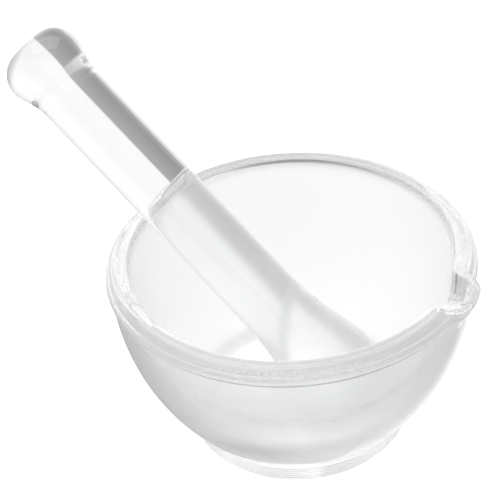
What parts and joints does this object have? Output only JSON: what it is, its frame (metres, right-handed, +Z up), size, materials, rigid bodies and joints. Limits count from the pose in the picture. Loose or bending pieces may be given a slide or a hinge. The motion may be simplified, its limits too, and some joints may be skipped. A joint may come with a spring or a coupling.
{
  "type": "mortar and pestle",
  "caption": "Clear pressed-glass mortar with a collar rim, pouring spout and low foot, and a solid glass pestle leaning in its bowl.",
  "frame": {"origin": "centre of the mortar's foot, on the surface it stands on", "axes": "+Z up along the mortar's axis, +X from that axis towards the pouring spout"},
  "size_m": [0.125, 0.0898, 0.0927],
  "materials": {
    "mortar_glass": "clear pressed soda-lime glass outside, finely ground inside",
    "pestle_glass": "clear solid soda-lime glass with a finely ground grinding head"
  },
  "bodies": {
    "mortar": {"mortar": "mortar_glass"},
    "pestle": {"pestle": "pestle_glass"}
  },
  "joints": [
    {"name": "pestle_lift", "type": "slide", "parent": "mortar", "child": "pestle", "axis": [0, 0, 1], "range_m": [0, 0.06]}
  ]
}
